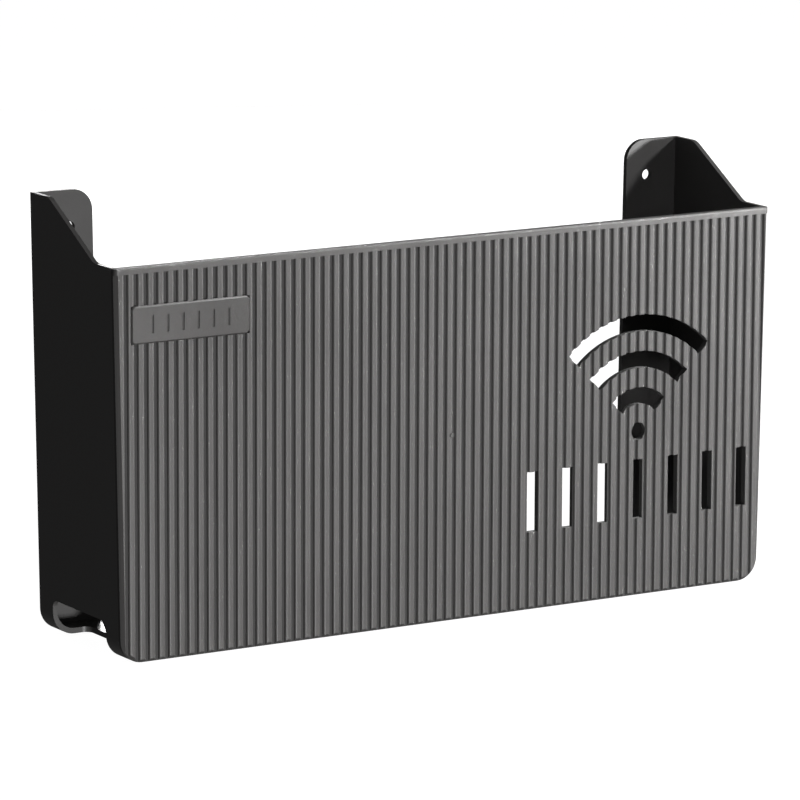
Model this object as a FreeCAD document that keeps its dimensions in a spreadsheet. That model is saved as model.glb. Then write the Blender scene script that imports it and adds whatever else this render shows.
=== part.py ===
import FreeCAD, Part
import os

import Sketcher

# A wall-hung storage box for a wireless router, in millimetres.
# While it is drawn, Y = 0 is the wall and the front faces -Y, Z = 0 is the underside and X = 0 the middle.
# Each sub-part's Placement then lowers it, so that the origin is midway between the two wall holes.

doc = FreeCAD.newDocument("router_box")

# ---------------------------------------------------------------- driving dimensions

SIZES = [
    # the box; "from the front" is measured from the floor of the front's grooves
    ("panel_width", 380.0, "front panel, across its top edge"),
    ("panel_height", 194.7, "front panel, and the walls beside it"),
    ("body_depth", 84.4, "from the wall to the floor of the front's grooves"),
    ("draft_angle", 0.94, "lean of each end wall, degrees"),
    ("corner_radius", 11.8, "outside of the two lower corners"),
    ("overcut", 1.0, "how far a cut begins outside the material"),
    # front panel
    ("panel_gauge", 2.5, "panel behind its grooves"),
    ("rib_height", 1.2, "flutes above the grooves"),
    ("rib_pitch", 5.446, "flute to flute"),
    ("rib_width", 3.7, "one flute at its foot"),
    ("rib_crown", 1.3, "flat on top of a flute"),
    ("groove_count", 69, "grooves between the flutes"),
    ("first_rib", 3.4, "middle of the first flute from the panel's upper left corner"),
    ("edge_bevel", 1.8, "bevel round the panel's front, except along the rim"),
    ("rim_height", 3.2, "smooth band along the top"),
    ("rim_proud", 0.4, "band above the flutes"),
    ("rim_round", 1.0, "rounding of the band's upper front edge"),
    ("rim_end_round", 2.2, "rounding of the band's two ends"),
    ("gate_radius", 1.1, "moulding gate mark in the middle of the panel"),
    ("gate_level", 94.9, "height of the gate mark"),
    ("gate_proud", 0.35, "gate mark above the flutes"),
    # pictogram and slots
    ("icon_side", 111.7, "middle of the dot and arcs, from the middle of the panel"),
    ("icon_level", 85.6, "height of the dot's middle"),
    ("dot_radius", 4.5, "dot"),
    ("arc_inner", 14.1, "inside radius of the smallest arc"),
    ("arc_gauge", 8.6, "width of each arc"),
    ("arc_pitch", 18.7, "arc to arc"),
    ("arc_half_angle", 45.0, "each side of upright, degrees"),
    ("slot_count", 7, "upright slots below the dot"),
    ("slot_pitch", 21.1, "slot to slot"),
    ("slot_width", 6.1, "one slot"),
    ("slot_bottom", 40.2, "height of the slots' lower ends"),
    ("slot_top", 71.0, "height of the slots' upper ends"),
    # nameplate
    ("plate_left", 8.8, "from the panel's upper left corner"),
    ("plate_bottom", 157.2, "height of its lower edge"),
    ("plate_width", 65.2, "along the panel"),
    ("plate_tall", 18.5, "up the panel"),
    ("plate_proud", 0.6, "above the flutes"),
    ("plate_corner", 2.2, "corner radius"),
    ("plate_bevel", 0.7, "bevel round its face"),
    ("plate_gap", 0.12, "clearance in its seat"),
    ("mark_count", 6, "short grooves in its face"),
    ("mark_pitch", 8.4, "groove to groove"),
    ("mark_width", 1.2, "one groove"),
    ("mark_tall", 8.6, "one groove"),
    ("mark_depth", 0.5, "one groove"),
    ("stake_radius", 1.5, "pins through the panel"),
    ("stake_gap", 0.1, "clearance round a pin"),
    ("stake_spacing", 44.0, "pin to pin"),
    ("stake_head", 2.6, "radius of a pin's melted head"),
    ("stake_rise", 0.8, "height of a pin's melted head"),
    # end walls
    ("wall_height", 220.6, "to the top of the back flanges"),
    ("wall_gauge", 2.4, "side wall"),
    ("slope_front", 20.2, "foot of the sloping top, from the front"),
    ("slope_back", 65.2, "head of the sloping top, from the front"),
    ("slope_foot_radius", 8.0, "hollow at the slope's foot"),
    ("slope_head_radius", 12.0, "rounding at the slope's head"),
    ("flange_width", 32.7, "back flange, from the outside of the wall"),
    ("flange_gauge", 2.9, "back flange"),
    ("flange_corner", 11.0, "its free upper corner"),
    ("hole_radius", 2.8, "wall hole"),
    ("hole_level", 202.0, "height of the wall holes"),
    ("hole_spacing", 340.4, "wall hole to wall hole"),
    ("notch_front", 15.4, "cable notch, from the front"),
    ("notch_back", 70.4, "cable notch, from the front"),
    ("notch_height", 18.5, "cable notch in the side wall"),
    ("notch_reach", 20.0, "cable notch in the floor, from the outside of the wall"),
    ("notch_radius", 7.2, "its front corners"),
    ("notch_back_radius", 4.0, "its rear corners"),
    # floor
    ("floor_gauge", 2.8, "floor and the walls' feet"),
    ("foot_reach", 42.0, "end of a wall's foot, from the outside of the wall"),
    ("lap_width", 8.0, "half lap between floor and foot"),
    ("lap_gap", 0.1, "clearance at the ends of the half lap"),
    # screws, and the lugs and bosses that they hold together
    ("shank_radius", 1.45, "self-tapping screws"),
    ("screw_length", 9.5, "floor screw with its head, side screw below its head"),
    ("head_radius", 2.8, "screw heads"),
    ("head_rise", 1.5, "screw heads"),
    ("recess_width", 0.8, "cross recess"),
    ("recess_span", 3.2, "cross recess"),
    ("recess_depth", 0.8, "cross recess"),
    ("pilot_radius", 1.5, "hole in a boss"),
    ("clear_radius", 1.7, "hole in a lug and in the floor"),
    ("boss_radius", 3.8, "bosses on the back of the panel for the end walls"),
    ("boss_length", 9.0, "all bosses"),
    ("boss_skin", 0.8, "left at the blind end of a boss's hole"),
    ("boss_inset", 9.5, "middle of the end walls' bosses, from the outside of the wall"),
    ("lug_gauge", 2.4, "lugs on the end walls"),
    ("lug_reach", 14.5, "lugs, from the outside of the wall"),
    ("lug_half", 5.0, "half a lug's height"),
    ("low_lug", 26.0, "height of the lower lugs' screws"),
    ("high_lug", 168.0, "height of the upper lugs' screws"),
    ("block_half", 3.8, "half the width of the floor's bosses"),
    ("block_depth", 7.6, "floor's bosses, out from the panel"),
    ("inner_block", 44.0, "inner floor screws, from the middle"),
    ("outer_block", 132.0, "outer floor screws, from the middle"),
]

sheet = doc.addObject("Spreadsheet::Sheet", "sizes")
for row, (alias, value, meaning) in enumerate(SIZES, start=1):
    sheet.set("A%d" % row, alias)
    sheet.set("B%d" % row, str(value))
    sheet.set("C%d" % row, meaning)
    sheet.setAlias("B%d" % row, alias)
doc.recompute()

LEFT, RIGHT = -1, 1
TOLERANCE = 0.01

# ---------------------------------------------------------------- expressions used more than once


def outside(level):
    """Half the box's width at a height."""
    lean = "tan(sizes.draft_angle * 1 deg)"
    return "(sizes.panel_width / 2 - (sizes.panel_height - %s) * %s)" % (level, lean)


PANEL_BACK = "(sizes.body_depth - sizes.panel_gauge)"
CREST = "(sizes.body_depth + sizes.rib_height)"
RIM_FOOT = "(sizes.panel_height - sizes.rim_height)"
BOSS_END = "(%s - sizes.boss_length)" % PANEL_BACK
LUG_BACK = "(%s - sizes.lug_gauge)" % BOSS_END
FOOT_END = "(%s - sizes.foot_reach)" % outside("0")
PLATE_MIDDLE = "(-sizes.panel_width / 2 + sizes.plate_left + sizes.plate_width / 2)"
PLATE_LEVEL = "(sizes.plate_bottom + sizes.plate_tall / 2)"
LUG_LEVELS = ("sizes.low_lug", "sizes.high_lug")
BLOCKS = ("-sizes.outer_block", "-sizes.inner_block", "sizes.inner_block", "sizes.outer_block")
BLOCK_MIDDLE = "-(%s - sizes.block_depth / 2)" % PANEL_BACK


def signed(side, expression):
    return expression if side == RIGHT else "-%s" % expression


# ---------------------------------------------------------------- helpers


def value_of(expression):
    """The number that an expression gives now."""
    result = sheet.evalExpression(expression)
    return float(getattr(result, "Value", result))


def new_body(label):
    body = doc.addObject("PartDesign::Body", label)
    body.Label = label
    body.setExpression("Placement.Base.z", "-sizes.hole_level")
    return body


def new_sketch(body, name, role, offset):
    """A sketch parallel to one of the body's origin planes, moved by offset along that plane's normal."""
    sketch = body.newObject("Sketcher::SketchObject", name)
    plane = next(feature for feature in body.Origin.OriginFeatures if feature.Role == role)
    sketch.AttachmentSupport = (plane, "")
    sketch.MapMode = "FlatFace"
    sketch.setExpression("AttachmentOffset.Base.z", offset)
    return sketch


def bind(sketch, kind, where, expression):
    """A dimension of the sketch that follows an expression."""
    index = sketch.addConstraint(Sketcher.Constraint(kind, *where, value_of(expression)))
    name = "%s_%d" % (kind.lower(), index)
    sketch.renameConstraint(index, name)
    sketch.setExpression("Constraints." + name, expression)


def place_point(sketch, geometry, point, x, y):
    """Holds a point of the sketch at two expressions, measured from the sketch's origin."""
    bind(sketch, "DistanceX", (-1, 1, geometry, point), x)
    bind(sketch, "DistanceY", (-1, 1, geometry, point), y)


def add_outline(sketch, corners, arcs=()):
    """A closed outline through corners, each a pair of expressions, anticlockwise.

    A side is straight, or an arc where arcs gives its number, its radius and its turn: 1 or -1, where
    1 bulges outwards. The arcs are under half a circle.
    """
    spots = [FreeCAD.Vector(value_of(x), value_of(y), 0) for x, y in corners]
    bends = {number: (radius, turn) for number, radius, turn in arcs}
    first = sketch.GeometryCount
    ends = []
    for number, start in enumerate(spots):
        end = spots[(number + 1) % len(spots)]
        if number not in bends:
            sketch.addGeometry(Part.LineSegment(start, end))
            ends.append((1, 2))
            continue
        radius, turn = value_of(bends[number][0]), bends[number][1]
        half = (end - start) * 0.5
        across = FreeCAD.Vector(-half.y, half.x, 0).normalize()
        rise = radius - (radius**2 - half.Length**2) ** 0.5
        sketch.addGeometry(Part.Arc(start, start + half - across * rise * turn, end))
        ends.append((1, 2) if turn == 1 else (2, 1))
    for number in range(len(spots)):
        following = (number + 1) % len(spots)
        joint = (first + number, ends[number][1], first + following, ends[following][0])
        sketch.addConstraint(Sketcher.Constraint("Coincident", *joint))
    for number, (x, y) in enumerate(corners):
        place_point(sketch, first + number, ends[number][0], x, y)
    for number, (radius, turn) in bends.items():
        bind(sketch, "Radius", (first + number,), radius)


def add_mirrored(sketch, side, corners, arcs=()):
    """An outline drawn for the right-hand side, or its mirror image."""
    if side == LEFT:
        corners = [("-" + x, y) for x, y in reversed(corners)]
        arcs = [((len(corners) - 2 - number) % len(corners), radius, turn) for number, radius, turn in arcs]
    add_outline(sketch, corners, arcs)


def add_box(sketch, left, right, bottom, top):
    add_outline(sketch, [(left, bottom), (right, bottom), (right, top), (left, top)])


def add_circle(sketch, x, y, radius):
    middle = FreeCAD.Vector(value_of(x), value_of(y), 0)
    index = sketch.addGeometry(Part.Circle(middle, FreeCAD.Vector(0, 0, 1), value_of(radius)))
    place_point(sketch, index, 3, x, y)
    bind(sketch, "Radius", (index,), radius)


def pad(body, name, sketch, length, reverse=False):
    feature = body.newObject("PartDesign::Pad", name)
    feature.Profile = sketch
    feature.setExpression("Length", length)
    feature.Reversed = reverse
    return feature


def pocket(body, name, sketch, length=None, reverse=False):
    """A pocket of a given depth, or right through; it has to take something away."""
    doc.recompute()
    before = body.Shape.Volume
    feature = body.newObject("PartDesign::Pocket", name)
    feature.Profile = sketch
    feature.Reversed = reverse
    if length is None:
        feature.Type = "ThroughAll"
    else:
        feature.setExpression("Length", length)
    doc.recompute()
    if body.Shape.isNull() or body.Shape.Volume >= before:
        raise RuntimeError("%s cuts nothing" % name)
    return feature


def repeat_along_x(body, name, feature, count, pitch):
    pattern = body.newObject("PartDesign::LinearPattern", name)
    pattern.Originals = [feature]
    axis = next(line for line in body.Origin.OriginFeatures if line.Role == "X_Axis")
    pattern.Direction = (axis, [""])
    pattern.setExpression("Length", "%s * (%s - 1)" % (pitch, count))
    pattern.setExpression("Occurrences", count)
    body.Tip = pattern
    return pattern


def dress_edges(body, kind, name, size, test):
    """A Fillet or a Chamfer on the edges of the body so far whose bounding boxes pass the test."""
    doc.recompute()
    base = body.Tip
    edges = enumerate(base.Shape.Edges, start=1)
    chosen = ["Edge%d" % number for number, edge in edges if test(edge.BoundBox)]
    if not chosen:
        raise RuntimeError("%s finds no edge" % name)
    feature = body.newObject("PartDesign::" + kind, name)
    feature.Base = (base, chosen)
    feature.setExpression("Radius" if kind == "Fillet" else "Size", size)
    return feature


def spans(low, high, near, far):
    """Whether a stretch runs from near to far, both numbers."""
    return abs(low - near) < TOLERANCE and abs(high - far) < TOLERANCE


def lies_at(box, y=None, z=None):
    """Whether an edge's bounding box is flat at the given y or z, each an expression."""
    at_y = y is None or spans(box.YMin, box.YMax, value_of(y), value_of(y))
    at_z = z is None or spans(box.ZMin, box.ZMax, value_of(z), value_of(z))
    return at_y and at_z


def level_in_x(box):
    """Whether an edge's bounding box is flat in x."""
    return box.XLength < TOLERANCE


# ---------------------------------------------------------------- front panel


def make_front_panel():
    body = new_body("front_panel")
    top, foot = outside("sizes.panel_height"), outside("0")
    outline = new_sketch(body, "panel_outline", "XZ_Plane", PANEL_BACK)
    add_outline(outline, [("-" + foot, "0"), (foot, "0"), (top, "sizes.panel_height"),
                          ("-" + top, "sizes.panel_height")])
    pad(body, "panel_slab", outline, "sizes.panel_gauge + sizes.rib_height")
    dress_edges(body, "Fillet", "panel_corners", "sizes.corner_radius",
                lambda box: lies_at(box, z="0") and level_in_x(box))
    dress_edges(body, "Chamfer", "panel_bevel", "sizes.edge_bevel",
                lambda box: lies_at(box, y="-" + CREST) and not lies_at(box, z="sizes.panel_height"))
    cut_grooves(body)
    add_rim(body)
    cut_pictogram(body)
    cut_nameplate_seat(body)
    add_gate_mark(body)
    add_panel_bosses(body)
    return body


def cut_grooves(body):
    """Upright grooves from the rim down; what stays between two of them is a flute with rounded sides."""
    left_rib = "(-sizes.panel_width / 2 + sizes.first_rib)"
    right_rib = "(%s + sizes.rib_pitch)" % left_rib
    half_foot, half_crown = "sizes.rib_width / 2", "sizes.rib_crown / 2"
    flank = "(%s - %s)" % (half_foot, half_crown)
    flank_radius = "(%s ^ 2 + sizes.rib_height ^ 2) / (2 * sizes.rib_height)" % flank
    clear = "-(%s + sizes.overcut)" % CREST
    left_crown, right_crown = left_rib + " + " + half_crown, right_rib + " - " + half_crown
    section = new_sketch(body, "groove_section", "XY_Plane", RIM_FOOT)
    add_outline(section, [
        (left_crown, clear),
        (right_crown, clear),
        (right_crown, "-" + CREST),
        (right_rib + " - " + half_foot, "-sizes.body_depth"),
        (left_rib + " + " + half_foot, "-sizes.body_depth"),
        (left_crown, "-" + CREST),
    ], arcs=[(2, flank_radius, -1), (4, flank_radius, -1)])
    groove = pocket(body, "groove", section, RIM_FOOT + " + sizes.overcut")
    repeat_along_x(body, "grooves", groove, "sizes.groove_count", "sizes.rib_pitch")


def add_rim(body):
    """A smooth band a little proud of the flutes, its front edge and its two ends rounded."""
    front, end = "(%s + sizes.rim_proud)" % CREST, outside("sizes.panel_height")
    profile = new_sketch(body, "rim_profile", "YZ_Plane", "-" + end)
    add_outline(profile, [
        ("-" + front, RIM_FOOT),
        ("-" + PANEL_BACK, RIM_FOOT),
        ("-" + PANEL_BACK, "sizes.panel_height"),
        ("-(%s - sizes.rim_round)" % front, "sizes.panel_height"),
        ("-" + front, "sizes.panel_height - sizes.rim_round"),
    ], arcs=[(3, "sizes.rim_round", 1)])
    pad(body, "rim", profile, "2 * " + end)
    corners = new_sketch(body, "rim_corners", "XY_Plane", "sizes.panel_height")
    round_front, round_end = "(%s - sizes.rim_end_round)" % front, "(%s - sizes.rim_end_round)" % end
    clear, beyond = "-(%s + sizes.overcut)" % front, "(%s + sizes.overcut)" % end
    for side in (LEFT, RIGHT):
        add_mirrored(corners, side, [
            (round_end, "-" + front),
            (round_end, clear),
            (beyond, clear),
            (beyond, "-" + round_front),
            (end, "-" + round_front),
        ], arcs=[(4, "sizes.rim_end_round", -1)])
    pocket(body, "rim_corner_cut", corners, "sizes.rim_height")


def cut_pictogram(body):
    """A dot, three arcs above it and a row of slots below it, right through the panel."""
    turn = "(sizes.arc_half_angle * 1 deg)"
    icon = new_sketch(body, "pictogram", "XZ_Plane", CREST + " + sizes.overcut")
    add_circle(icon, "sizes.icon_side", "sizes.icon_level", "sizes.dot_radius")
    for number in range(3):
        inner = "(sizes.arc_inner + %d * sizes.arc_pitch)" % number
        outer = "(%s + sizes.arc_gauge)" % inner
        corners = [
            ("sizes.icon_side + %d * %s * sin(%s)" % (side, radius, turn),
             "sizes.icon_level + %s * cos(%s)" % (radius, turn))
            for side, radius in ((RIGHT, inner), (RIGHT, outer), (LEFT, outer), (LEFT, inner))
        ]
        add_outline(icon, corners, arcs=[(1, outer, 1), (3, inner, -1)])
    pocket(body, "pictogram_cut", icon)
    slot = new_sketch(body, "slot_outline", "XZ_Plane", CREST + " + sizes.overcut")
    left = "(sizes.icon_side - sizes.slot_pitch * (sizes.slot_count - 1) / 2 - sizes.slot_width / 2)"
    add_box(slot, left, left + " + sizes.slot_width", "sizes.slot_bottom", "sizes.slot_top")
    first = pocket(body, "slot", slot)
    repeat_along_x(body, "slots", first, "sizes.slot_count", "sizes.slot_pitch")


def cut_nameplate_seat(body):
    """A flat seat at the depth of the grooves, with a hole for each of the nameplate's pins."""
    half_width = "(sizes.plate_width / 2 + sizes.plate_gap)"
    half_tall = "(sizes.plate_tall / 2 + sizes.plate_gap)"
    seat = new_sketch(body, "seat_outline", "XZ_Plane", CREST)
    add_box(seat, PLATE_MIDDLE + " - " + half_width, PLATE_MIDDLE + " + " + half_width,
            PLATE_LEVEL + " - " + half_tall, PLATE_LEVEL + " + " + half_tall)
    pocket(body, "seat", seat, "sizes.rib_height")
    holes = new_sketch(body, "stake_holes", "XZ_Plane", CREST)
    add_stakes(holes, "sizes.stake_radius + sizes.stake_gap")
    pocket(body, "stake_hole_cut", holes)


def add_stakes(sketch, radius):
    for side in (LEFT, RIGHT):
        across = "%s + %d * sizes.stake_spacing / 2" % (PLATE_MIDDLE, side)
        add_circle(sketch, across, PLATE_LEVEL, radius)


def add_gate_mark(body):
    mark = new_sketch(body, "gate_outline", "XZ_Plane", "sizes.body_depth")
    add_circle(mark, "0", "sizes.gate_level", "sizes.gate_radius")
    pad(body, "gate_mark", mark, "sizes.rib_height + sizes.gate_proud")


def add_panel_bosses(body):
    """On the back: a round boss for each lug of the end walls, and blocks that the floor is screwed to."""
    round_bosses = new_sketch(body, "round_bosses", "XZ_Plane", BOSS_END)
    pilots = new_sketch(body, "round_boss_pilots", "XZ_Plane", BOSS_END)
    for side in (LEFT, RIGHT):
        for level in LUG_LEVELS:
            across = signed(side, "(%s - sizes.boss_inset)" % outside(level))
            add_circle(round_bosses, across, level, "sizes.boss_radius")
            add_circle(pilots, across, level, "sizes.pilot_radius")
    pad(body, "round_boss_pad", round_bosses, "sizes.boss_length")
    pocket(body, "round_boss_pilot_cut", pilots, "sizes.boss_length - sizes.boss_skin", reverse=True)
    blocks = new_sketch(body, "blocks", "XY_Plane", "sizes.floor_gauge")
    block_pilots = new_sketch(body, "block_pilots", "XY_Plane", "sizes.floor_gauge")
    for across in BLOCKS:
        add_box(blocks, across + " - sizes.block_half", across + " + sizes.block_half",
                "-" + PANEL_BACK, "-(%s - sizes.block_depth)" % PANEL_BACK)
        add_circle(block_pilots, across, BLOCK_MIDDLE, "sizes.pilot_radius")
    pad(body, "block_pad", blocks, "sizes.boss_length")
    pocket(body, "block_pilot_cut", block_pilots, "sizes.boss_length - sizes.boss_skin", reverse=True)


# ---------------------------------------------------------------- nameplate


def make_nameplate():
    body = new_body("nameplate")
    face = new_sketch(body, "plate_outline", "XZ_Plane", "sizes.body_depth")
    half_width, half_tall = "sizes.plate_width / 2", "sizes.plate_tall / 2"
    add_box(face, PLATE_MIDDLE + " - " + half_width, PLATE_MIDDLE + " + " + half_width,
            PLATE_LEVEL + " - " + half_tall, PLATE_LEVEL + " + " + half_tall)
    pad(body, "plate", face, "sizes.rib_height + sizes.plate_proud")
    dress_edges(body, "Fillet", "plate_corners", "sizes.plate_corner",
                lambda box: level_in_x(box) and box.ZLength < TOLERANCE)
    front = "-(%s + sizes.plate_proud)" % CREST
    dress_edges(body, "Chamfer", "plate_edge", "sizes.plate_bevel", lambda box: lies_at(box, y=front))
    marks = new_sketch(body, "mark_outline", "XZ_Plane", "%s + sizes.plate_proud" % CREST)
    left = "(%s - sizes.mark_pitch * (sizes.mark_count - 1) / 2 - sizes.mark_width / 2)" % PLATE_MIDDLE
    add_box(marks, left, left + " + sizes.mark_width",
            PLATE_LEVEL + " - sizes.mark_tall / 2", PLATE_LEVEL + " + sizes.mark_tall / 2")
    mark = pocket(body, "mark", marks, "sizes.mark_depth")
    repeat_along_x(body, "marks", mark, "sizes.mark_count", "sizes.mark_pitch")
    pins = new_sketch(body, "pins", "XZ_Plane", "sizes.body_depth")
    add_stakes(pins, "sizes.stake_radius")
    pad(body, "pin_pad", pins, "sizes.panel_gauge", reverse=True)
    heads = new_sketch(body, "pin_heads", "XZ_Plane", PANEL_BACK)
    add_stakes(heads, "sizes.stake_head")
    pad(body, "pin_head_pad", heads, "sizes.stake_rise", reverse=True)
    back = "-(%s - sizes.stake_rise)" % PANEL_BACK
    dress_edges(body, "Fillet", "pin_head_edge", "sizes.stake_rise / 2", lambda box: lies_at(box, y=back))
    return body


# ---------------------------------------------------------------- end walls


def make_end_wall(label, side):
    """A leaning side wall with a foot along the floor and a flange along the wall that the box hangs on."""
    body = new_body(label)
    section = new_sketch(body, label + "_section", "XZ_Plane", "0")
    top, foot = outside("sizes.wall_height"), outside("0")
    inner_foot = "(%s - sizes.wall_gauge)" % outside("sizes.floor_gauge")
    corners = [
        (foot, "0"),
        (top, "sizes.wall_height"),
        ("(%s - sizes.wall_gauge)" % top, "sizes.wall_height"),
        (inner_foot, "sizes.floor_gauge"),
        (FOOT_END, "sizes.floor_gauge"),
        (FOOT_END, "0"),
    ]
    add_mirrored(section, side, corners)
    pad(body, label + "_pad", section, PANEL_BACK)
    flange = new_sketch(body, label + "_flange_outline", "XZ_Plane", "0")
    add_mirrored(flange, side, [
        (foot, "0"),
        (top, "sizes.wall_height"),
        ("(%s - sizes.flange_width)" % top, "sizes.wall_height"),
        ("(%s - sizes.flange_width)" % foot, "0"),
    ])
    pad(body, label + "_flange", flange, "sizes.flange_gauge")
    cut_sloping_top(body, label, side)
    round_end_wall(body, label)
    cut_notch(body, label, side)
    cut_wall_hole(body, label, side)
    cut_lap(body, label, side)
    add_lugs(body, label, side)
    return body


def cut_sloping_top(body, label, side):
    """Takes away what is above the line from the panel's top edge up to the flange's."""
    cut = new_sketch(body, label + "_slope", "YZ_Plane", signed(side, "sizes.panel_width"))
    foot, head = "-(sizes.body_depth - sizes.slope_front)", "-(sizes.body_depth - sizes.slope_back)"
    above = "(sizes.wall_height + sizes.overcut)"
    add_outline(cut, [
        ("-" + CREST, "sizes.panel_height"),
        (foot, "sizes.panel_height"),
        (head, "sizes.wall_height"),
        (head, above),
        ("-" + CREST, above),
    ])
    pocket(body, label + "_slope_cut", cut, reverse=side == LEFT)
    dress_edges(body, "Fillet", label + "_slope_foot", "sizes.slope_foot_radius",
                lambda box: lies_at(box, y=foot, z="sizes.panel_height"))
    dress_edges(body, "Fillet", label + "_slope_head", "sizes.slope_head_radius",
                lambda box: lies_at(box, y=head, z="sizes.wall_height"))


def round_end_wall(body, label):
    foot = value_of(outside("0"))
    side_zone = foot - 2 * value_of("sizes.wall_gauge")
    dress_edges(body, "Fillet", label + "_outer_corner", "sizes.corner_radius",
                lambda box: lies_at(box, z="0") and level_in_x(box) and abs(box.XMin) > foot - TOLERANCE)
    dress_edges(body, "Fillet", label + "_inner_corner", "sizes.corner_radius - sizes.wall_gauge",
                lambda box: lies_at(box, z="sizes.floor_gauge") and level_in_x(box) and abs(box.XMin) > side_zone)
    dress_edges(body, "Fillet", label + "_flange_corner", "sizes.flange_corner",
                lambda box: lies_at(box, z="sizes.wall_height") and level_in_x(box) and abs(box.XMin) < side_zone)


def cut_notch(body, label, side):
    """A way out for cables, through the wall's lower edge and the foot beside it."""
    inner = "(%s - sizes.notch_reach)" % outside("0")
    front, back = "-(sizes.body_depth - sizes.notch_front)", "-(sizes.body_depth - sizes.notch_back)"
    cut = new_sketch(body, label + "_notch_outline", "YZ_Plane", signed(side, inner))
    add_box(cut, front, back, "-sizes.overcut", "sizes.notch_height")
    pocket(body, label + "_notch", cut, reverse=side == RIGHT)
    ends = (("front", front, "sizes.notch_radius"), ("back", back, "sizes.notch_back_radius"))
    for name, y, radius in ends:
        dress_edges(body, "Fillet", "%s_notch_%s" % (label, name), radius,
                    lambda box, y=y: lies_at(box, y=y, z="sizes.notch_height")
                    or lies_at(box, y=y) and level_in_x(box) and box.ZLength > TOLERANCE)


def cut_wall_hole(body, label, side):
    hole = new_sketch(body, label + "_hole_outline", "XZ_Plane", "sizes.flange_gauge")
    add_circle(hole, signed(side, "(sizes.hole_spacing / 2)"), "sizes.hole_level", "sizes.hole_radius")
    pocket(body, label + "_hole", hole)


def cut_lap(body, label, side):
    """Takes the upper half off the foot's end, where the floor lies on it."""
    lap = new_sketch(body, label + "_lap_outline", "XZ_Plane", PANEL_BACK)
    start = "(%s + sizes.lap_width)" % FOOT_END
    add_mirrored(lap, side, [
        (start, "sizes.floor_gauge / 2"),
        (start, "sizes.floor_gauge"),
        (FOOT_END, "sizes.floor_gauge"),
        (FOOT_END, "sizes.floor_gauge / 2"),
    ])
    pocket(body, label + "_lap", lap)


def add_lugs(body, label, side):
    lugs = new_sketch(body, label + "_lug_outline", "XZ_Plane", LUG_BACK)
    holes = new_sketch(body, label + "_lug_holes", "XZ_Plane", LUG_BACK)
    for level in LUG_LEVELS:
        low, high = "(%s - sizes.lug_half)" % level, "(%s + sizes.lug_half)" % level
        root = "(%s - sizes.wall_gauge / 2)" % outside(level)
        tip = "(%s - sizes.lug_reach)" % outside(level)
        add_mirrored(lugs, side, [(root, low), (root, high), (tip, high), (tip, low)])
        across = signed(side, "(%s - sizes.boss_inset)" % outside(level))
        add_circle(holes, across, level, "sizes.clear_radius")
    pad(body, label + "_lugs", lugs, "sizes.lug_gauge")
    pocket(body, label + "_lug_hole_cut", holes, "sizes.lug_gauge", reverse=True)


# ---------------------------------------------------------------- floor


def make_floor_plate():
    """Lies between the end walls' feet; its ends are the upper halves of the two half laps."""
    body = new_body("floor_plate")
    section = new_sketch(body, "floor_section", "XZ_Plane", "0")
    shoulder = "(%s - sizes.lap_gap)" % FOOT_END
    tip = "(%s + sizes.lap_width - sizes.lap_gap)" % FOOT_END
    add_outline(section, [
        ("-" + shoulder, "0"),
        (shoulder, "0"),
        (shoulder, "sizes.floor_gauge / 2"),
        (tip, "sizes.floor_gauge / 2"),
        (tip, "sizes.floor_gauge"),
        ("-" + tip, "sizes.floor_gauge"),
        ("-" + tip, "sizes.floor_gauge / 2"),
        ("-" + shoulder, "sizes.floor_gauge / 2"),
    ])
    pad(body, "floor_pad", section, PANEL_BACK)
    holes = new_sketch(body, "floor_holes", "XY_Plane", "0")
    for across in BLOCKS:
        add_circle(holes, across, BLOCK_MIDDLE, "sizes.clear_radius")
    pocket(body, "floor_hole_cut", holes, reverse=True)
    widest = 2 * value_of("sizes.clear_radius") + TOLERANCE
    dress_edges(body, "Chamfer", "countersinks", "sizes.head_radius - sizes.clear_radius",
                lambda box: lies_at(box, z="0") and box.XLength < widest)
    return body


# ---------------------------------------------------------------- screws


def primitive(kind, name, sizes):
    solid = doc.addObject(kind, name)
    for field, expression in sizes.items():
        solid.setExpression(field, expression)
    return solid


def joined(name, base, tool, kind="Part::Fuse"):
    result = doc.addObject(kind, name)
    result.Base = base
    result.Tool = tool
    return result


def add_recess(name, head, top):
    """Cuts a cross recess into a head whose flat top is at the height top."""
    for bar, (length, width) in enumerate((("recess_span", "recess_width"), ("recess_width", "recess_span"))):
        box = primitive("Part::Box", "%s_bar_%d" % (name, bar), {
            "Length": "sizes." + length,
            "Width": "sizes." + width,
            "Height": "sizes.recess_depth + sizes.overcut",
            "Placement.Base.x": "-sizes.%s / 2" % length,
            "Placement.Base.y": "-sizes.%s / 2" % width,
            "Placement.Base.z": "%s - sizes.recess_depth" % top,
        })
        head = joined("%s_recess_%d" % (name, bar), head, box, "Part::Cut")
    return head


def make_floor_screw(name):
    """A countersunk screw, drawn with its head's top at 0 and its point downwards."""
    shank = primitive("Part::Cylinder", name + "_shank", {
        "Radius": "sizes.shank_radius",
        "Height": "sizes.screw_length",
        "Placement.Base.z": "-sizes.screw_length",
    })
    cone_rise = "(sizes.head_radius - sizes.shank_radius)"
    cone = primitive("Part::Cone", name + "_head", {
        "Radius1": "sizes.shank_radius",
        "Radius2": "sizes.head_radius",
        "Height": cone_rise,
        "Placement.Base.z": "-" + cone_rise,
    })
    return add_recess(name, joined(name + "_blank", shank, cone), "0")


def make_side_screw(name):
    """A pan-head screw, drawn with the underside of its head at 0 and its point downwards."""
    shank = primitive("Part::Cylinder", name + "_shank", {
        "Radius": "sizes.shank_radius",
        "Height": "sizes.screw_length",
        "Placement.Base.z": "-sizes.screw_length",
    })
    head = primitive("Part::Cylinder", name + "_head", {
        "Radius": "sizes.head_radius",
        "Height": "sizes.head_rise",
    })
    return add_recess(name, joined(name + "_blank", shank, head), "sizes.head_rise")


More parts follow.
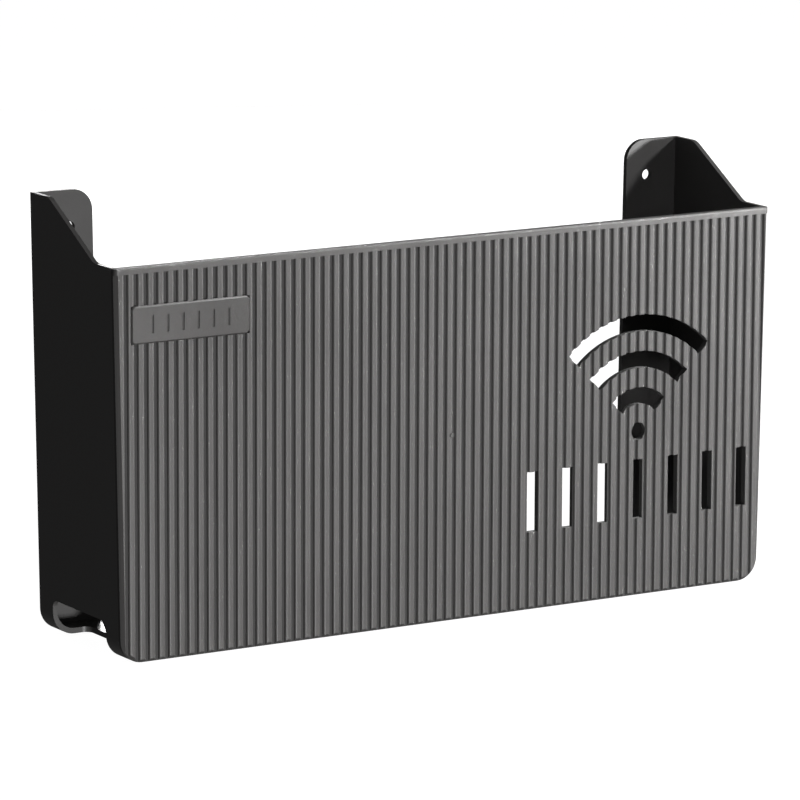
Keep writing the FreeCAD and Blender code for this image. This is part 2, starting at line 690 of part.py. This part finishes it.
def make_screws(label, make_one, places, axis, angle):
    """One group of identical screws, each turned about an axis and moved to its place."""
    screws = []
    for number, place in enumerate(places):
        screw = make_one("%s_%d" % (label, number))
        screw.Placement.Rotation = FreeCAD.Rotation(axis, angle)
        for letter, expression in zip("xyz", place):
            screw.setExpression("Placement.Base." + letter, expression)
        screws.append(screw)
    group = doc.addObject("Part::Compound", label)
    group.Label = label
    group.Links = screws
    group.setExpression("Placement.Base.z", "-sizes.hole_level")
    return group


def make_floor_screws():
    places = [(across, BLOCK_MIDDLE, "0") for across in BLOCKS]
    return make_screws("floor_screws", make_floor_screw, places, FreeCAD.Vector(1, 0, 0), 180)


def make_side_screws():
    places = [
        (signed(side, "(%s - sizes.boss_inset)" % outside(level)), "-" + LUG_BACK, level)
        for side in (LEFT, RIGHT)
        for level in LUG_LEVELS
    ]
    return make_screws("side_screws", make_side_screw, places, FreeCAD.Vector(1, 0, 0), -90)


# ---------------------------------------------------------------- the assembly

PARTS = [
    make_front_panel(),
    make_nameplate(),
    make_end_wall("left_end_wall", LEFT),
    make_end_wall("right_end_wall", RIGHT),
    make_floor_plate(),
    make_side_screws(),
    make_floor_screws(),
]
doc.recompute()

for feature in doc.Objects:
    if "Invalid" in feature.State or "Error" in feature.State:
        raise RuntimeError("%s did not build: %s" % (feature.Name, feature.State))
for part in PARTS:
    if part.Shape.isNull() or not part.Shape.isValid():
        raise RuntimeError("%s has no valid shape" % part.Label)

os.makedirs("parts", exist_ok=True)
for part in PARTS:
    part.Shape.exportStep("parts/%s.step" % part.Label)
    print("%-16s %2d solid(s) %9.1f mm3" % (part.Label, len(part.Shape.Solids), part.Shape.Volume))
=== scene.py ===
import math

import bpy
from mathutils import Matrix, Vector


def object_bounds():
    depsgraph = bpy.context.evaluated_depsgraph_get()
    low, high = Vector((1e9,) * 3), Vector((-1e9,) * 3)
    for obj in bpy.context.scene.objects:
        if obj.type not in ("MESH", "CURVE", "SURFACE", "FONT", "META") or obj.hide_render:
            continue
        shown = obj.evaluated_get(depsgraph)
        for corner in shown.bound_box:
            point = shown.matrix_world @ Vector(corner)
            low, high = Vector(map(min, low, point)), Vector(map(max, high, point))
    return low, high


# A wall-hung router box in dark moulded plastic, in metres, in the CAD model's frame:
# the wall is the plane Y = 0, the front faces -Y and the origin is midway between the wall holes.

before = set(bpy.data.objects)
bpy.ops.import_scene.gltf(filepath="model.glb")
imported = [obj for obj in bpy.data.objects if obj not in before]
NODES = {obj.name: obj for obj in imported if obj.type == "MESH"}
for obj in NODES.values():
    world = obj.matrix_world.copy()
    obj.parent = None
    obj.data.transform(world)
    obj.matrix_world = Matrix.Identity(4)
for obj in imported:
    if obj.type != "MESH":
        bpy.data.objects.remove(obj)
CAD_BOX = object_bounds()
LOW, HIGH = CAD_BOX
CENTRE = (LOW + HIGH) / 2

MM = 0.001

# ---------------------------------------------------------------- camera

VIEW_AZIMUTH = math.radians(-31.32)
VIEW_ELEVATION = math.radians(11.02)
VIEW_ROLL = math.radians(0.21)
VIEW_DISTANCE = 2.8034
VIEW_LENS = 250.56
SENSOR_WIDTH = 36
NEAREST, FARTHEST = 0.1, 50
AIM = CENTRE + Vector((-3.8, 1.2, -4.6)) * MM


def direction(azimuth, elevation):
    """From the object towards a place. Azimuth 0 is straight in front, and grows to the right."""
    return Vector((
        math.sin(azimuth) * math.cos(elevation),
        -math.cos(azimuth) * math.cos(elevation),
        math.sin(elevation),
    ))


def add_camera():
    data = bpy.data.cameras.new("camera")
    data.lens = VIEW_LENS
    data.sensor_width = SENSOR_WIDTH
    data.clip_start, data.clip_end = NEAREST, FARTHEST
    camera = bpy.data.objects.new("camera", data)
    back = direction(VIEW_AZIMUTH, VIEW_ELEVATION)
    turn = (-back).to_track_quat("-Z", "Y").to_matrix().to_4x4()
    camera.matrix_world = (
        Matrix.Translation(AIM + back * VIEW_DISTANCE) @ turn @ Matrix.Rotation(VIEW_ROLL, 4, "Z")
    )
    bpy.context.scene.collection.objects.link(camera)
    bpy.context.scene.camera = camera


# ---------------------------------------------------------------- light and floor

FLANGE_MIDDLE = 20 * MM
RIGHT_FLANGE = Vector((HIGH.x - FLANGE_MIDDLE, 0, 0))
# name, where it aims, azimuth and elevation in degrees, distance, size, power in watts, for the front only
LAMPS = [
    ("low_side", RIGHT_FLANGE, 46, 3, 0.75, 0.05, 9.5, False),
    ("high_side", RIGHT_FLANGE, 47, 27, 1.1, 0.12, 11, False),
    ("fill", CENTRE, -8, 18, 2.4, 0.8, 12, False),
    ("floor_bounce", CENTRE, -5, -21, 2.2, 0.6, 45, False),
    ("rim", CENTRE, 70, 58, 1.4, 0.12, 12, True),
    ("back", CENTRE, 158, 0, 1.8, 0.6, 60, False),
]
FLOOR_GAP = 0.5 * MM
STUDIO_GLOW = 0.08
BACKDROP = 1.0
WHITE = (1, 1, 1, 1)
FLOOR_HALF = 6.0
FLOOR_GREY = (0.15, 0.15, 0.15, 1)
FLOOR_ROUGHNESS = 0.9
FLOOR_GLOW = 0.985


def add_lamps():
    for name, target, azimuth, elevation, distance, size, power, front_only in LAMPS:
        data = bpy.data.lights.new(name, "AREA")
        data.shape = "DISK"
        data.size = size
        data.energy = power
        lamp = bpy.data.objects.new(name, data)
        towards = direction(math.radians(azimuth), math.radians(elevation))
        lamp.location = target + towards * distance
        lamp.rotation_mode = "QUATERNION"
        lamp.rotation_quaternion = (-towards).to_track_quat("-Z", "Y")
        bpy.context.scene.collection.objects.link(lamp)
        if front_only:
            flag_off_all_but_front(lamp)


def flag_off_all_but_front(lamp):
    """Keep a lamp off all but the front panel and its nameplate, as a flag beside a studio lamp does."""
    lit = bpy.data.collections.new("lit_by_" + lamp.name)
    for node in ("front_panel", "nameplate"):
        lit.objects.link(NODES[node])
    lamp.light_linking.receiver_collection = lit


def add_world():
    """A dim studio all round, in front of a white backdrop."""
    world = bpy.data.worlds.new("studio")
    world.use_nodes = True
    nodes, links = world.node_tree.nodes, world.node_tree.links
    glow = nodes["Background"]
    glow.inputs["Color"].default_value = WHITE
    glow.inputs["Strength"].default_value = STUDIO_GLOW
    backdrop = nodes.new("ShaderNodeBackground")
    backdrop.inputs["Color"].default_value = WHITE
    backdrop.inputs["Strength"].default_value = BACKDROP
    rays = nodes.new("ShaderNodeLightPath")
    mix = nodes.new("ShaderNodeMixShader")
    links.new(rays.outputs["Is Camera Ray"], mix.inputs[0])
    links.new(glow.outputs[0], mix.inputs[1])
    links.new(backdrop.outputs[0], mix.inputs[2])
    links.new(mix.outputs[0], nodes["World Output"].inputs["Surface"])
    bpy.context.scene.world = world


def add_floor():
    """A pale floor that glows almost white. It neither throws light on the object nor keeps any off it."""
    mesh = bpy.data.meshes.new("floor")
    corners = [(x * FLOOR_HALF, y * FLOOR_HALF, 0) for x, y in ((-1, -1), (1, -1), (1, 1), (-1, 1))]
    mesh.from_pydata(corners, [], [(0, 1, 2, 3)])
    floor = bpy.data.objects.new("floor", mesh)
    floor.location = (0, 0, LOW.z - FLOOR_GAP)
    floor.visible_diffuse = False
    floor.visible_glossy = False
    floor.visible_shadow = False
    bpy.context.scene.collection.objects.link(floor)
    material = bpy.data.materials.new("floor")
    material.use_nodes = True
    shader = material.node_tree.nodes["Principled BSDF"]
    shader.inputs["Base Color"].default_value = FLOOR_GREY
    shader.inputs["Roughness"].default_value = FLOOR_ROUGHNESS
    shader.inputs["Specular IOR Level"].default_value = 0.0
    shader.inputs["Emission Color"].default_value = WHITE
    shader.inputs["Emission Strength"].default_value = FLOOR_GLOW
    mesh.materials.append(material)


# ---------------------------------------------------------------- material tools


class Nodes:
    """A small hand for building one node material."""

    def __init__(self, name):
        self.material = bpy.data.materials.new(name)
        self.material.use_nodes = True
        self.tree = self.material.node_tree
        self.shader = self.tree.nodes["Principled BSDF"]
        self.place = self.add("ShaderNodeTexCoord").outputs["Object"]

    def add(self, kind, **settings):
        node = self.tree.nodes.new(kind)
        for key, value in settings.items():
            setattr(node, key, value)
        return node

    def join(self, source, target):
        self.tree.links.new(source, target)

    def noise(self, scale, detail=3.0, roughness=0.5, stretch=None):
        node = self.add("ShaderNodeTexNoise")
        node.inputs["Scale"].default_value = scale
        node.inputs["Detail"].default_value = detail
        node.inputs["Roughness"].default_value = roughness
        place = self.place
        if stretch is not None:
            mapping = self.add("ShaderNodeMapping")
            mapping.inputs["Scale"].default_value = stretch
            self.join(place, mapping.inputs["Vector"])
            place = mapping.outputs["Vector"]
        self.join(place, node.inputs["Vector"])
        return node.outputs["Fac"]

    def ramp(self, value, low, high, out_low=0.0, out_high=1.0):
        """A number stretched from low..high to out_low..out_high, and held at both ends."""
        node = self.add("ShaderNodeMapRange")
        node.clamp = True
        limits = {"From Min": low, "From Max": high, "To Min": out_low, "To Max": out_high}
        for key, number in limits.items():
            node.inputs[key].default_value = number
        self.join(value, node.inputs["Value"])
        return node.outputs["Result"]

    def math(self, operation, first, second):
        node = self.add("ShaderNodeMath", operation=operation)
        for socket, value in zip(node.inputs, (first, second)):
            if isinstance(value, (int, float)):
                socket.default_value = value
            else:
                self.join(value, socket)
        return node.outputs[0]

    def blend(self, factor, first, second):
        """A colour between two others, each a colour or a socket."""
        node = self.add("ShaderNodeMix", data_type="RGBA")
        self.join(factor, node.inputs["Factor"])
        for socket, value in ((node.inputs[6], first), (node.inputs[7], second)):
            if isinstance(value, tuple):
                socket.default_value = (*value, 1)
            else:
                self.join(value, socket)
        return node.outputs[2]

    def bump(self, height, strength, distance, normal=None):
        node = self.add("ShaderNodeBump")
        node.inputs["Strength"].default_value = strength
        node.inputs["Distance"].default_value = distance
        self.join(height, node.inputs["Height"])
        if normal is not None:
            self.join(normal, node.inputs["Normal"])
        return node.outputs["Normal"]


# ---------------------------------------------------------------- plastic

# where the front's colour starts to turn into the painted groove shade, a darker colour that stands for the
# shade in the recessed groove floors, and where it has done so
FLUTE_FLANK = LOW.y + 1.2 * MM
GROOVE_FLOOR = LOW.y + 1.8 * MM
DARK = (0.0355, 0.0342, 0.0336)
LIGHT = (0.0540, 0.0520, 0.0512)
# painted shade: a darker colour laid on the groove floors in place of the shade that falls there
GROOVE_PAINTED_SHADE = (0.030, 0.0292, 0.0288)
PLATE_DARK = (0.0325, 0.0312, 0.0305)
PLATE_LIGHT = (0.0445, 0.0430, 0.0420)
SMOOTH, ROUGH, PLATE_ROUGH = 0.42, 0.52, 0.50
GROOVE_ROUGHER = 0.3
# the part of a noise's range that is stretched to a whole change
NOISE_LOW, NOISE_HIGH = 0.3, 0.7
PIT_DEPTH = 0.05 * MM
GRAIN_DEPTH = 0.03 * MM

STEEL_DARK = (0.42, 0.43, 0.45)
STEEL_LIGHT = (0.66, 0.66, 0.64)
STEEL_SMOOTH, STEEL_ROUGH = 0.28, 0.46
SCRATCH_DEPTH = 0.02 * MM


def moulded_plastic(name, dark, light, smooth, rough, groove_shade=None):
    """Matt moulded plastic: a spark-eroded grain, faint flow clouding and a roughness that changes in
    clouds.
    """
    made = Nodes(name)
    cloud = made.noise(14, detail=4, roughness=0.6)
    flow = made.noise(9, detail=3, stretch=(1, 1, 0.18))
    grain = made.noise(2600, detail=2, roughness=0.7)
    pits = made.noise(900, detail=3, roughness=0.55)
    tone = made.math("ADD", made.math("MULTIPLY", cloud, 0.6), made.math("MULTIPLY", flow, 0.4))
    speckle = made.ramp(grain, NOISE_LOW, NOISE_HIGH, -0.15, 0.3)
    tone = made.math("ADD", made.ramp(tone, 0.35, 0.65, 0.1, 0.7), speckle)
    colour = made.blend(tone, dark, light)
    sheen = made.ramp(cloud, NOISE_LOW, NOISE_HIGH, smooth, rough)
    roughness = made.math("ADD", sheen, made.ramp(pits, NOISE_LOW, NOISE_HIGH, -0.03, 0.03))
    # painted shade: the deeper the surface lies behind the front, the more its colour turns to the painted
    # groove shade; the same mask also makes the grooves rougher
    if groove_shade is not None:
        split = made.add("ShaderNodeSeparateXYZ")
        made.join(made.place, split.inputs[0])
        groove_shade_and_roughness_mask = made.ramp(split.outputs["Y"], FLUTE_FLANK, GROOVE_FLOOR)
        colour = made.blend(groove_shade_and_roughness_mask, colour, groove_shade)
        roughness = made.math("ADD", roughness, made.math("MULTIPLY", groove_shade_and_roughness_mask, GROOVE_ROUGHER))
    made.join(colour, made.shader.inputs["Base Color"])
    made.join(roughness, made.shader.inputs["Roughness"])
    coarse = made.bump(pits, 0.25, PIT_DEPTH)
    made.join(made.bump(grain, 0.35, GRAIN_DEPTH, coarse), made.shader.inputs["Normal"])
    return made.material


def plated_steel(name):
    """Zinc-plated steel: a fine spangle and drawn scratches."""
    made = Nodes(name)
    made.shader.inputs["Metallic"].default_value = 1.0
    spangle = made.noise(700, detail=4, roughness=0.6)
    scratch = made.noise(1500, detail=2, stretch=(1, 1, 0.1))
    made.join(made.blend(spangle, STEEL_DARK, STEEL_LIGHT), made.shader.inputs["Base Color"])
    roughness = made.ramp(spangle, NOISE_LOW, NOISE_HIGH, STEEL_SMOOTH, STEEL_ROUGH)
    made.join(roughness, made.shader.inputs["Roughness"])
    made.join(made.bump(scratch, 0.3, SCRATCH_DEPTH), made.shader.inputs["Normal"])
    return made.material


def paint(node, material):
    mesh = NODES[node].data
    mesh.materials.clear()
    mesh.materials.append(material)


# the front panel's grooves get the painted groove shade
panel_plastic = moulded_plastic("panel_plastic", DARK, LIGHT, SMOOTH, ROUGH, groove_shade=GROOVE_PAINTED_SHADE)
wall_plastic = moulded_plastic("wall_plastic", DARK, LIGHT, SMOOTH, ROUGH)
plate_plastic = moulded_plastic("plate_plastic", PLATE_DARK, PLATE_LIGHT, SMOOTH, PLATE_ROUGH)
zinc_steel = plated_steel("zinc_steel")
paint("front_panel", panel_plastic)
paint("nameplate", plate_plastic)
for node in ("left_end_wall", "right_end_wall", "floor_plate"):
    paint(node, wall_plastic)
for node in ("side_screws", "floor_screws"):
    paint(node, zinc_steel)

add_camera()
add_lamps()
add_world()
add_floor()
bpy.context.scene.view_settings.view_transform = "Standard"
